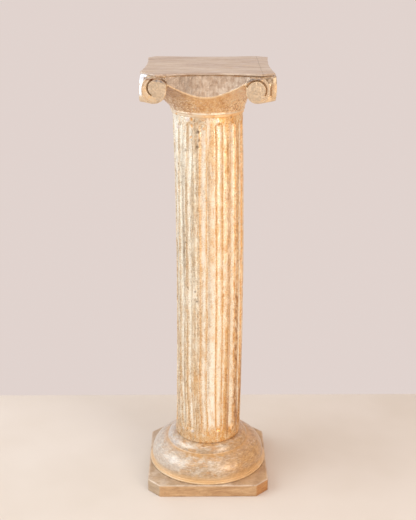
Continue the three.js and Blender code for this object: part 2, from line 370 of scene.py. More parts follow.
def make_shaft():
    half = FLUTE_WIDTH / 2
    # Columns of points over one flute, as distances from its middle, then over the flat beside it
    over = np.array([-1.16, -1.04, -0.93, -0.76, -0.5, -0.17, 0.17, 0.5, 0.76, 0.93, 1.04, 1.16]) * half
    flats = 4
    per = len(over) + flats
    foot = [MOULDING_TOP_Z, MOULDING_TOP_Z + 0.5, MOULDING_TOP_Z + 1.3]
    z = np.concatenate([
        foot,
        np.linspace(MOULDING_TOP_Z + 3, 165, 34),
        np.linspace(168, 900, 262),
        np.linspace(902, SHAFT_TOP_Z, 26),
    ])
    tuck = np.interp(z, foot, [1.6, 0.5, 0.0])
    centres = flute_centres(z)
    columns = FLUTE_COUNT * per
    angle = np.zeros((len(z), columns))
    offset = np.full((len(z), columns), 1.7 * half)
    flat = np.repeat(np.arange(FLUTE_COUNT), per)
    flat[(np.arange(columns) % per) < len(over) // 2] -= 1
    flat %= FLUTE_COUNT
    to_degrees = 180 / math.pi / SHAFT_RADIUS
    for i in range(FLUTE_COUNT):
        nearest = centres[:, i]
        following = centres[:, (i + 1) % FLUTE_COUNT] + (360 if i == FLUTE_COUNT - 1 else 0)
        start = i * per
        for j, s in enumerate(over):
            angle[:, start + j] = nearest + s * to_degrees
            offset[:, start + j] = s
        left = nearest + over[-1] * to_degrees
        right = following + over[0] * to_degrees
        for j in range(flats):
            share = (j + 1) / (flats + 1)
            angle[:, start + len(over) + j] = left + (right - left) * share
    rows = np.repeat(z[:, None], columns, 1)
    shape = rows.shape
    flat_points = on_shaft(SHAFT_RADIUS, angle, rows)
    # Flutes, with their width and ends a little uneven. away is 1 along a flute's edge.
    edge = wander(flat_points, (9, 9, 26), 11).reshape(shape) * 0.05
    edge += wander(flat_points, (4, 4, 7), 12).reshape(shape) * 0.04
    ends = np.random.default_rng(5).uniform(-END_STRAY, END_STRAY, (2, FLUTE_COUNT))
    number = np.repeat(np.arange(FLUTE_COUNT), per)
    past_top = rows - (FLUTE_TOP_Z - half + ends[0][number])
    past_bottom = (FLUTE_BOTTOM_Z + half / FOOT_SLOPE + ends[1][number] - rows) * FOOT_SLOPE
    past = np.maximum(0, np.maximum(past_top, past_bottom))
    away = np.hypot(offset, past) / half + edge
    depth = FLUTE_DEPTH * np.clip(1 - np.clip(away, 0, 1) ** 2.1, 0, 1) ** 0.75
    # Knife marks and dents over the whole surface, and chips along the flutes' edges
    dents = wander(flat_points, (13, 13, 17), 21) * 0.3 + wander(flat_points, (6, 6, 9), 22) * 0.22
    dents += wander(flat_points, (60, 60, 90), 23) * 0.35
    dents = dents.reshape(shape)
    chips = np.clip(wander(flat_points, (5, 5, 9), 24) - 0.45, 0, 1).reshape(shape) * 1.1
    at_edge = np.exp(-((away - 1.06) / 0.14) ** 2)
    radius = SHAFT_RADIUS - 0.3 - depth + np.minimum(dents, 0.35) - chips * (0.2 + at_edge) - tuck[:, None]
    points = on_shaft(radius, angle, rows, bow_at(rows))
    on_flat = between(away, 0.98, 1.08)
    marks = {
        # side: partly rubbed leaf, partly painted shade on the flute walls; middle: a painted highlight along
        # each flute
        "side": 0.85 * np.exp(-((away - 0.9) / 0.2) ** 2) * (1 - 0.65 * between(past, 0, half)),
        "middle": np.exp(-((np.hypot(offset / half - 0.04, past / half) / 0.46) ** 2)),
        "highlight_streak": streak_mark(flat_points, angle, rows, HIGHLIGHT_STREAKS),
        "dull_streak": streak_mark(flat_points, angle, rows, DULL_STREAKS),
        # lip: a painted highlight along the flutes' edges
        "lip": at_edge * between(away, 1.0, 1.04),
        "tarnish": patch_mark(flat, rows, TARNISHED) * (0.25 + 0.75 * on_flat),
        "cream": patch_mark(flat, rows, CREAMY) * on_flat,
        "dark_spot": spot_mark(flat_points, angle, rows, DARK_SPOTS),
        "pale_spot": spot_mark(flat_points, angle, rows, PALE_SPOTS),
        "orange_spot": spot_mark(flat_points, angle, rows, ORANGE_SPOTS),
    }
    return make_closed("shaft_carved", points, columns, MOULDING_TOP_Z, SHAFT_TOP_Z, marks)


# Base moulding


def resampled(path, step, closed=False):
    """Points along a line of points, about one step apart."""
    path = np.asarray(path, float)
    if closed:
        path = np.vstack([path, path[:1]])
    length = np.concatenate([[0], np.cumsum(np.hypot(*np.diff(path, axis=0).T))])
    count = max(2, round(length[-1] / step))
    at = np.linspace(0, length[-1], count + 1)
    if closed:
        at = at[:-1]
    return np.stack([np.interp(at, length, path[:, 0]), np.interp(at, length, path[:, 1])], -1)


def rounded_corners(path, size):
    """The same line, with each corner of it cut back and smoothed."""
    path = np.asarray(path, float)
    made = [path[0]]
    for before, corner, after in zip(path, path[1:], path[2:]):
        back = np.linalg.norm(before - corner)
        ahead = np.linalg.norm(after - corner)
        a = corner + (before - corner) * min(size / back, 0.45)
        b = corner + (after - corner) * min(size / ahead, 0.45)
        for t in (0, 0.33, 0.67, 1):
            made.append(a * (1 - t) ** 2 + corner * 2 * t * (1 - t) + b * t * t)
    made.append(path[-1])
    return np.array(made)


def quarter_round(widest, top, steps):
    """A quarter of an ellipse, from its widest point up to its top."""
    turn = np.linspace(0, math.pi / 2, steps + 1)
    return [
        (top[0] + (widest[0] - top[0]) * math.cos(a), widest[1] + (top[1] - widest[1]) * math.sin(a))
        for a in turn
    ]


def make_moulding():
    fillet_top = PLINTH_TOP_Z + FILLET_HEIGHT
    worn = 1.2
    path = [(FILLET_RADIUS - worn, PLINTH_TOP_Z), (FILLET_RADIUS, PLINTH_TOP_Z + worn)]
    path += [(FILLET_RADIUS, fillet_top), (TORUS_FOOT_RADIUS + 1.5, fillet_top + 0.6)]
    path += quarter_round((TORUS_RADIUS, TORUS_WIDEST_Z), (TORUS_TOP_RADIUS, TORUS_TOP_Z), 24)
    path += quarter_round((RING_RADIUS, RING_FOOT_Z), (RING_TOP_RADIUS, MOULDING_TOP_Z - 0.3), 12)
    path += [(SEAT_RADIUS, MOULDING_TOP_Z)]
    profile = resampled(rounded_corners(path, worn), 1.15)
    columns = 380
    angle = np.arange(columns) * 2 * math.pi / columns
    radius = np.repeat(profile[:, :1], columns, 1)
    height = np.repeat(profile[:, 1:], columns, 1)
    flat = np.stack([radius * np.sin(angle), -radius * np.cos(angle), height], -1).reshape(-1, 3)
    normals = vertex_normals(flat, grid_faces(len(profile), columns))
    waves = wander(flat, (38, 38, 20), 31) * 0.5 + wander(flat, (14, 14, 10), 32) * 0.22
    waves += wander(flat, (7, 7, 5), 33) * 0.1
    z = flat[:, 2]
    keep = between(z, PLINTH_TOP_Z, PLINTH_TOP_Z + 2)
    keep *= 1 - between(z, MOULDING_TOP_Z - 1, MOULDING_TOP_Z)
    points = flat + normals * (np.minimum(waves, 0.5) * keep)[:, None]
    points[:, 2] = np.clip(points[:, 2], PLINTH_TOP_Z, MOULDING_TOP_Z)
    # The two hollow seams, over and under the torus
    seam = bump_at(z, TORUS_TOP_Z + 0.6, 1.3) + bump_at(z, fillet_top + 1, 1.6)
    marks = {"hollow": np.clip(seam, 0, 1)}
    return make_closed("base_moulding_carved", points, columns, PLINTH_TOP_Z, MOULDING_TOP_Z, marks)


# Plinth and board


def make_slab(name, outline, bottom, top, step, rim, relief, seed):
    """A flat slab with a worn rim. relief gives the height added to its top at each point."""
    loop = resampled(outline, step, closed=True)
    columns = len(loop)
    rings = int(round(np.abs(loop).max() / step))
    edges = np.roll(loop, -1, 0) - np.roll(loop, 1, 0)
    outward = np.stack([edges[:, 1], -edges[:, 0]], -1)
    outward /= np.linalg.norm(outward, axis=1, keepdims=True)
    worn = rim * (1 + 0.45 * wander(np.c_[loop, np.zeros(columns)], 17, seed))
    worn = np.clip(worn, 0.4 * rim, (top - bottom) * 0.45)
    layers = []
    inner = loop - outward * worn[:, None]
    for i in range(1, rings):
        layers.append(np.c_[inner * (i / rings), np.full(columns, top)])
    for turn in np.linspace(0, math.pi / 2, 5):
        in_by = worn * (1 - math.sin(turn))
        down = worn * (1 - math.cos(turn))
        layers.append(np.c_[loop - outward * in_by[:, None], top - down])
    side = max(1, round((top - bottom) / step))
    first = layers[-1][:, 2].copy()
    for i in range(1, side + 1):
        share = i / side
        layers.append(np.c_[loop, first * (1 - share) + (bottom + worn * 0.5) * share])
    layers.append(np.c_[loop - outward * (worn * 0.5)[:, None], np.full(columns, bottom)])
    points = np.concatenate(layers)
    added = relief(points)
    on_top = between(points[:, 2], top - 1.2 * rim, top)
    inside = points[:, 2] > bottom + 0.01
    points[:, 2] += np.minimum(added * on_top, 0) * inside
    unevenness = wander(points, (23, 23, 11), seed + 1) * 0.4 + wander(points, (8, 8, 6), seed + 2) * 0.15
    sides = np.arange(len(points)) >= (rings + 3) * columns
    normal = np.tile(outward, (len(layers), 1))
    points[:, :2] += normal * (np.minimum(unevenness, 0) * sides * inside)[:, None]
    # The rim gets a painted highlight
    rim_highlight = np.zeros(len(points))
    rim_highlight[(rings - 1) * columns:(rings + 4) * columns] = 1
    return make_closed(name, points, columns, top, bottom, {"ridge_highlight": rim_highlight})


def make_plinth():
    far = PLINTH_HALF_SIDE
    near = far - PLINTH_CORNER_CUT
    outline = [
        (-near, -far), (near, -far), (far, -near), (far, near),
        (near, far), (-near, far), (-far, near), (-far, -near),
    ]

    def relief(points):
        return wander(points, (45, 45, 20), 41) * 0.4 - 0.3

    return make_slab("plinth_carved", outline, 0, PLINTH_TOP_Z, 2.6, 1.5, relief, 42)


def hollow_plan(hollow, shrink, steps=24):
    """A plan with four hollow sides and cut-off corners, seen from above and anticlockwise."""
    corners = {name: np.array(ends, float) for name, ends in CUT_CORNERS.items()}

    def side(start, end, depth):
        along = end - start
        inward = np.array([-along[1], along[0]]) / np.linalg.norm(along)
        t = np.arange(steps)[:, None] / steps
        return np.vstack([start + along * t + inward * 4 * depth * t * (1 - t), end])

    return shrink * np.vstack([
        side(corners["front_left"][1], corners["front_right"][1], hollow["front"]),
        side(corners["front_right"][0], corners["back_right"][0], hollow["side"]),
        side(corners["back_right"][1], corners["back_left"][1], hollow["back"]),
        side(corners["back_left"][0], corners["front_left"][0], hollow["side"]),
    ])


def make_board():
    def relief(points):
        grain = wander(points, (70, 4.5, 30), 51) * 0.22 + wander(points, (30, 2.6, 30), 52) * 0.12
        return grain + wander(points, (50, 50, 30), 53) * 0.2 - 0.25

    outline = hollow_plan(BOARD_HOLLOW, 1)
    return make_slab("abacus_board_carved", outline, BLOCK_TOP_Z, BOARD_TOP_Z, 2.2, 1.3, relief, 54)


# Capital


def outline_distance(x, y, outline):
    """Distance in plan to a closed outline, negative inside it."""
    nearest = np.full(x.shape, 1e9)
    inside = np.zeros(x.shape, bool)
    for (ax, ay), (bx, by) in zip(outline, np.roll(outline, -1, 0)):
        ex, ey = bx - ax, by - ay
        t = np.clip(((x - ax) * ex + (y - ay) * ey) / (ex * ex + ey * ey), 0, 1)
        nearest = np.minimum(nearest, np.hypot(x - ax - t * ex, y - ay - t * ey))
        if ey != 0:
            inside ^= ((ay > y) != (by > y)) & (x < ax + (y - ay) * ex / ey)
    return np.where(inside, -nearest, nearest)


def bell_radius(z):
    """The bell's radius at a height, with the plain neck and the lip at its foot."""
    curve = np.array(BELL_CURVE)
    heights = curve[:, 1]
    radii = curve[:, 0]
    fine = np.linspace(heights[0], heights[-1], 400)
    smooth = np.interp(fine, heights, radii)
    window = np.hanning(25)
    padded = np.pad(smooth, 12, mode="reflect", reflect_type="odd")
    smooth = np.convolve(padded, window / window.sum(), mode="valid")
    round_out = np.sqrt(np.clip(1 - ((z - LIP_Z) / LIP_HALF_HEIGHT) ** 2, 0, 1))
    lip = LIP_RADIUS - LIP_DEPTH + LIP_DEPTH * round_out
    neck = NECK_RADIUS + NECK_FLARE * between(z, NECK_FLARE_Z, LIP_Z - 1.2)
    below = np.where(np.abs(z - LIP_Z) < LIP_HALF_HEIGHT, np.maximum(lip, neck), neck)
    above = np.maximum(np.interp(z, fine, smooth), np.where(z < LIP_Z + LIP_HALF_HEIGHT, lip, 0))
    return np.where(z < heights[0], below, above)


def bell_distance(x, y, z):
    """Distance to the bell's surface, negative inside it."""
    slope = bell_radius(z + 0.5) - bell_radius(z - 0.5)
    lean = BELL_LEAN * between(z, LEAN_FOOT_Z, LEAN_FULL_Z)
    return (np.hypot(x - lean, y) - bell_radius(z)) / np.sqrt(1 + np.clip(slope, -1, 3) ** 2)


def spiral_turn(u, v, spiral):
    """Angle of a place on a scroll's face round the middle of its spiral cut, and the distance to it."""
    centre_in, centre_up = SPIRALS[spiral][:2]
    du, dv = u - centre_in, v - centre_up
    return np.arctan2(dv, du) % (2 * math.pi), np.hypot(du, dv)


def scroll_groove(u, v, spiral):
    """Depth of the spiral cut at a place on a scroll's face. u runs towards the column, v up."""
    outer, inner, start, sweep = SPIRALS[spiral][2:]
    turn, away = spiral_turn(u, v, spiral)
    t = (turn - math.radians(start)) / math.radians(sweep)
    off = away - (inner + (outer - inner) * (1 - np.clip(t, 0, 1)) ** 3)
    on = between(t, -0.06, 0.02) * (1 - between(t, 0.95, 1.05))
    # Steep on the side of the band and sloping up over the boss
    wall = np.where(off > 0, off / 1.6, -off / 2.6)
    return GROOVE_DEPTH * np.clip(1 - wall**2, 0, 1) * on


def band_radius(u, v, radius):
    """Outer radius of a scroll's band, which widens over the top of the scroll."""
    turn = np.degrees(np.arctan2(v, u)) % 360
    return radius + BAND_WIDENING * (1 - between(turn, 75, 185)) * between(turn, 8, 40)


def rim_line(u, v, radius):
    """1 along the thin line between a scroll's rim and its band, on the side away from the column."""
    line = np.exp(-((np.hypot(u, v) - (band_radius(u, v, radius) - 4.6)) / 1.2) ** 2)
    return line * between(3.0 - u, 0, 14)


def scroll_face(u, v, radius):
    """How far a scroll's face stands back from its foremost plane."""
    away = np.hypot(u - 3.5, v - 3.5)
    dome = 0.9 * np.clip(away / 14, 0, 1) ** 2
    rim = 2.0 * np.clip((np.hypot(u, v) - (radius - 3.0)) / 3.0, 0, 1) ** 2
    return dome + rim + 1.3 * rim_line(u, v, radius)


def volute_field(corner, along, across, height, banded):
    """Scroll, core and groove. along runs out from the column to the scroll's face, across to its corner."""
    middle = corner["reach"] - corner["inset"]
    u, v = middle - across, height - corner["height"]
    off_axis = np.hypot(u, v) - corner["radius"]
    face = along - corner["reach"] + scroll_face(u, v, corner["radius"])
    disc = smooth_max(smooth_max(off_axis, face, 0.8), corner["reach"] - VOLUTE_THICKNESS - along, 0.8)
    if banded:
        plate_face = along - corner["reach"] + 0.8 + 1.3 * rim_line(u, v, corner["radius"])
        plate = smooth_max(np.hypot(u, v) - band_radius(u, v, corner["radius"]), plate_face, 0.8)
        plate = smooth_max(plate, corner["reach"] - 9 - along, 0.8)
        disc = smooth_min(disc, np.maximum(plate, -10 - v), 0.6)
    inner_end = VOLUTE_INNER_END + 20 * between(-v, -4, 16)
    core = np.maximum(off_axis, inner_end - along)
    groove = face + scroll_groove(u, v, corner["spiral"])
    return disc, core, groove


def surface_of(field, origin, step):
    """Points and quads of the surface where a field on a cubic grid is zero."""
    solid = field < 0
    count = sum(
        solid[i:solid.shape[0] - 1 + i, j:solid.shape[1] - 1 + j, k:solid.shape[2] - 1 + k].astype(np.int8)
        for i in (0, 1) for j in (0, 1) for k in (0, 1)
    )
    active = (count > 0) & (count < 8)
    cells = np.argwhere(active)
    number = np.full(active.shape, -1)
    number[active] = np.arange(len(cells))
    corner = [np.array([c & 1, c >> 1 & 1, c >> 2 & 1]) for c in range(8)]
    value = [field[tuple((cells + c).T)] for c in corner]
    total = np.zeros((len(cells), 3))
    hits = np.zeros(len(cells))
    for a in range(8):
        for bit in (1, 2, 4):
            if a & bit:
                continue
            b = a | bit
            crossed = (value[a] < 0) != (value[b] < 0)
            t = value[a][crossed] / (value[a][crossed] - value[b][crossed])
            total[crossed] += corner[a] + (corner[b] - corner[a]) * t[:, None]
            hits[crossed] += 1
    points = origin + (cells + total / hits[:, None]) * step
    quads = []
    for axis in range(3):
        ahead = np.roll(solid, -1, axis)
        changed = np.argwhere(solid != ahead)
        changed = changed[changed[:, axis] < solid.shape[axis] - 1]
        u = np.eye(3, dtype=int)[(axis + 1) % 3]
        v = np.eye(3, dtype=int)[(axis + 2) % 3]
        quad = np.stack([number[tuple((changed - s).T)] for s in (0 * u, u, u + v, v)], -1)
        leaving = solid[tuple(changed.T)]
        quad[~leaving] = quad[~leaving][:, ::-1]
        quads.append(quad)
    return points, np.concatenate(quads)


def make_capital():
    step = CAPITAL_GRID
    reach_out = HALF_BOX + 1.6
    origin = np.array([-reach_out, -reach_out, SHAFT_TOP_Z - 2 * step])
    far_end = np.array([reach_out, reach_out, BLOCK_TOP_Z + 2 * step])
    shape = np.ceil((far_end - origin) / step).astype(int) + 1
    axes = [origin[i] + np.arange(shape[i]) * step for i in range(3)]
    x, y, z = (a.astype(np.float32) for a in np.meshgrid(*axes, indexing="ij", sparse=True))
    block_plan = hollow_plan(BLOCK_HOLLOW, BLOCK_SHRINK)
    block = outline_distance(x + 0 * y, y + 0 * x, block_plan).astype(np.float32)
    bell = bell_distance(x, y, z).astype(np.float32)
    field = smooth_max(bell, block, 1.0)
    # A fine roll along the edge where the faces of the block meet the bell
    field = np.minimum(field, np.sqrt((bell + 0.6) ** 2 + (block + 0.4) ** 2) - 1.5)
    # The block stands back under the board
    field = np.maximum(field, np.where(z > SHADOW_GAP_Z, block + SHADOW_GAP_DEPTH, -9).astype(np.float32))
    field = np.maximum(field, np.maximum(SHAFT_TOP_Z - z, z - BLOCK_TOP_Z))
    for corner in VOLUTES:
        sx, sy, reach = corner["x"], corner["y"], corner["reach"]
        low_z = np.searchsorted(axes[2], corner["height"] - corner["radius"] - 6)
        cols_x = np.flatnonzero(axes[0] * sx > VOLUTE_NEAREST)
        cols_y = np.flatnonzero(axes[1] * sy > VOLUTE_NEAREST)
        window = np.ix_(cols_x, cols_y, np.arange(low_z, shape[2]))
        gx = x[cols_x] * sx
        gy = y[:, cols_y] * sy
        gz = z[:, :, low_z:]
        plan = block[np.ix_(cols_x, cols_y, [0])]
        local = field[window]
        front_disc, front_core, front_groove = volute_field(corner, gy, gx, gz, True)
        side_disc, side_core, side_groove = volute_field(corner, gx, gy, gz, corner["gouge"] is not None)
        cores = smooth_max(smooth_min(front_core, side_core, 3.0), plan, 1.0)
        # The wall across the corner, between the two scrolls, hollowed by one long gouge cut
        drop = np.sqrt(np.maximum(corner["radius"] ** 2 - np.minimum(gz - corner["height"], 0) ** 2, 0))
        hull = (gx + gy - (2 * reach - corner["inset"] + drop)) / math.sqrt(2)
        wall = np.maximum(np.maximum(hull + 3.0, plan - 0.5), corner["height"] - corner["radius"] - gz)
        middle = reach - corner["inset"]
        wall = np.maximum(wall, np.maximum(middle - 4 - gx, middle - 4 - gy))
        wall = np.maximum(wall, np.minimum(front_core, side_core) - 14)
        if corner["gouge"] is None:
            # A plain face that leans out from under the board to the rims of the two scrolls
            leaning = plan - 0.5 - 30 * between(BLOCK_TOP_Z - gz, 1, 44)
            wall = np.maximum(np.maximum(leaning, hull + 1.5), corner["height"] - corner["radius"] + 0.6 - gz)
            wall = np.maximum(wall, np.maximum(gx - reach + 0.6, gy - reach + 4.0))
            inner = middle - 24 * between(gz, corner["height"] - 4, corner["height"] + 12)
            wall = np.maximum(wall, np.maximum(inner - gx, inner - gy))
        else:
            along_cut = (gx - gy) / math.sqrt(2)
            shaped = np.clip((gz - corner["height"] + 16) / 30, 0, 1)
            from_middle = along_cut / np.maximum(shaped, 0.05) * 0.85
            gouge = corner["gouge"] - np.hypot(from_middle, (plan + 0.5) * 1.5)
            gouge = np.minimum(gouge, np.minimum(corner["height"] + 17 - gz, gz - corner["height"] + 16))
            wall = smooth_max(wall, gouge, 1.0)
        local = smooth_min(local, cores, 1.2)
        local = smooth_min(local, wall, 1.0)
        discs = smooth_min(front_disc, side_disc, 1.2)
        local = smooth_min(local, discs, 0.8)
        for groove, ahead in ((front_groove, gy), (side_groove, gx)):
            near = (ahead > reach - 9) & (groove > -5.5)
            across = gx if ahead is gy else gy
            place = (reach - corner["inset"] - across, gz - corner["height"])
            spot = scroll_groove(*place, corner["spiral"]) > 0.05
            if corner["gouge"] is None and ahead is gx:
                spot = spot & (np.hypot(*place) < corner["radius"] - 1)
            local = np.where(near & spot, np.maximum(local, groove), local)
        # The gap is deeper at the front right corner
        gap_here = SHADOW_GAP_DEPTH + 2.0 * (sx > 0) * (sy < 0)
        local = np.where(gz > SHADOW_GAP_Z, np.maximum(local, plan + gap_here), local)
        field[window] = np.maximum(local, gz - BLOCK_TOP_Z)
    points, quads = surface_of(field, origin, step)
    normals = vertex_normals(points, quads)
    # Carving marks
    px, py, pz = points.T
    on_block = outline_distance(px, py, block_plan)
    on_bell = bell_distance(px, py, pz)
    upright = 1 - between(np.abs(normals[:, 2]), 0.3, 0.7)
    crescent = between(on_block, -1.2, -0.3) * upright * between(-on_bell, 0.5, 3)
    bell_mark = between(on_bell, -1.0, -0.2) * (1 - between(on_bell, 0.6, 1.6)) * (1 - crescent)
    bell_mark *= between(pz, 951, 954)
    disc, band, groove_shade, groove_shade_depth = np.zeros((4, len(points)))
    for corner in VOLUTES:
        for axis in (1, 0):
            along = points[:, axis] * (corner["y"] if axis else corner["x"])
            across = points[:, 1 - axis] * (corner["x"] if axis else corner["y"])
            facing = normals[:, axis] * (corner["y"] if axis else corner["x"]) > 0.75
            u, v = corner["reach"] - corner["inset"] - across, pz - corner["height"]
            near = (np.hypot(u, v) < corner["radius"] + 9) & (along > corner["reach"] - 7)
            face = near & (along > corner["reach"] - 2.6) & facing
            disc = np.where(face, 1, disc)
            deep = scroll_groove(u, v, corner["spiral"]) / GROOVE_DEPTH
            if corner["gouge"] is None:
                if axis:
                    beyond = np.hypot(u, v) > band_radius(u, v, corner["radius"]) - 0.2
                else:
                    side_disc = face & (np.hypot(u, v) < corner["radius"] + 0.5)
                    near &= np.hypot(u, v) < corner["radius"] - 1
            spiral_here = np.maximum(groove_shade, np.clip(1.4 * deep, 0, 1))
            groove_shade = np.where(near, spiral_here, groove_shade)
            line_here = np.maximum(groove_shade, 0.6 * rim_line(u, v, corner["radius"]))
            groove_shade = np.where(face, line_here, groove_shade)
            turn, away = spiral_turn(u, v, corner["spiral"])
            dark = 1 - between(turn, 1.3, 2.4) if corner["spiral"] == "right" else between(turn, 1.9, 2.6)
            groove_shade_depth = np.where(near & (deep > 0.01), 0.3 + 0.7 * dark, groove_shade_depth)
            last_radius = SPIRALS[corner["spiral"]][3]
            outside = between(away, last_radius + 1, last_radius + 3) * between(-u, -8, 4)
            inside_rim = 1 - between(np.hypot(u, v), corner["radius"] - 5, corner["radius"] - 3)
            band = np.where(face, outside * inside_rim, band)
    disc *= (1 - groove_shade) * (1 - band)
    upper = 1 - between(pz, 1044, 1045.5)
    lower = between(pz, 943.2, 944.5)
    relief = -0.55 * cuts(points, (0.15, 0, 1), 16, 3.2, 61) * crescent
    relief += -0.45 * cuts(points, (1, 0, 0.9), 14, 3.4, 62) * crescent
    low_bell = 1 - between(pz, 972, 990)
    relief += -0.6 * cuts(points, (0.3, 0.3, 1), 15, 4.2, 63) * bell_mark
    relief += -1.1 * np.clip(wander(points, (5, 5, 4), 67) + 0.1, 0, 1) * bell_mark * low_bell
    relief += -0.9 * np.clip(wander(points, 3.4, 64) + 0.2, 0, 1) * disc
    relief += wander(points, 12, 65) * 0.3 + wander(points, 30, 66) * 0.35
    points = points + normals * (np.minimum(relief, 0.35) * upper * lower)[:, None]
    points[:, 2] = np.clip(points[:, 2], SHAFT_TOP_Z, BLOCK_TOP_Z)
    # A painted highlight along the edge where the faces meet the bell
    edge = between(on_block, -2.0, -0.6) * between(on_bell, -2.4, -0.8)
    # The plain face at the front left corner, which gets a painted highlight, and the streaked one at the
    # front right
    left_cut_highlight = between(normals @ np.array([-0.7, -0.55, 0.45]), 0.2, 0.4) * (px < -105) * (py < -85)
    left_cut_highlight *= between(pz + 3 * wander(points, 14, 68), 1001, 1010)
    left_cut_highlight *= (1 - between(pz, 1044.5, 1045.2)) * beyond * (1 - side_disc)
    right_cut = between(normals @ np.array([0.8, -0.6, 0]), 0.6, 0.85) * (px > 112) * (py < -95)
    right_cut *= between(pz, 1022, 1032) * (1 - disc)
    pocket = between(-on_block, 1.2, 2.4) * (px > 112) * (py < -95) * (1 - disc) * (1 - band)
    pocket *= between(pz, 996, 1000) * (1 - between(pz, 1028, 1032))
    # Painted shade in the pocket at the front right and in the gap under the board
    groove_shade = np.maximum(groove_shade, 0.8 * pocket)
    gap = between(pz, SHADOW_GAP_Z - 0.8, SHADOW_GAP_Z + 0.2) * upright
    groove_shade_depth = np.maximum(groove_shade_depth, gap)
    groove_shade = np.maximum(groove_shade, gap * (0.45 + 0.5 * between(px, 90, 115)))
    # A painted highlight along the lip, brightest in front
    lip = bump_at(pz, LIP_Z, 2.4) * (on_bell > -3) * (0.35 + 0.65 * bump_at(px, 5, 50))
    marks = {
        "hollow": groove_shade, "deep": groove_shade_depth, "ridge_highlight": edge, "band": band, "lip": lip,
        "gild": bell_mark, "face": disc + crescent, "disc": disc, "white_highlight": left_cut_highlight, "grey": right_cut,
    }
    marks = {name: np.clip(values, 0, 1) for name, values in marks.items()}
    made = make_object("capital_carved", points, quads.tolist(), marks)
    thin = made.modifiers.new("thin", "DECIMATE")
    thin.ratio = min(1.0, CAPITAL_TRIANGLES / (2 * len(quads)))
    graph = bpy.context.evaluated_depsgraph_get()
    slim = bpy.data.meshes.new_from_object(made.evaluated_get(graph))
    slim.validate()
    made.modifiers.clear()
    made.data = slim
    return made


# Materials


def rgb(red, green, blue):
    """A colour as the screen shows it, from 0 to 255, in the shader's own scale."""
    linear = []
    for value in (red, green, blue):
        c = value / 255
        linear.append(c / 12.92 if c <= 0.04045 else ((c + 0.055) / 1.055) ** 2.4)
    return (*linear, 1)


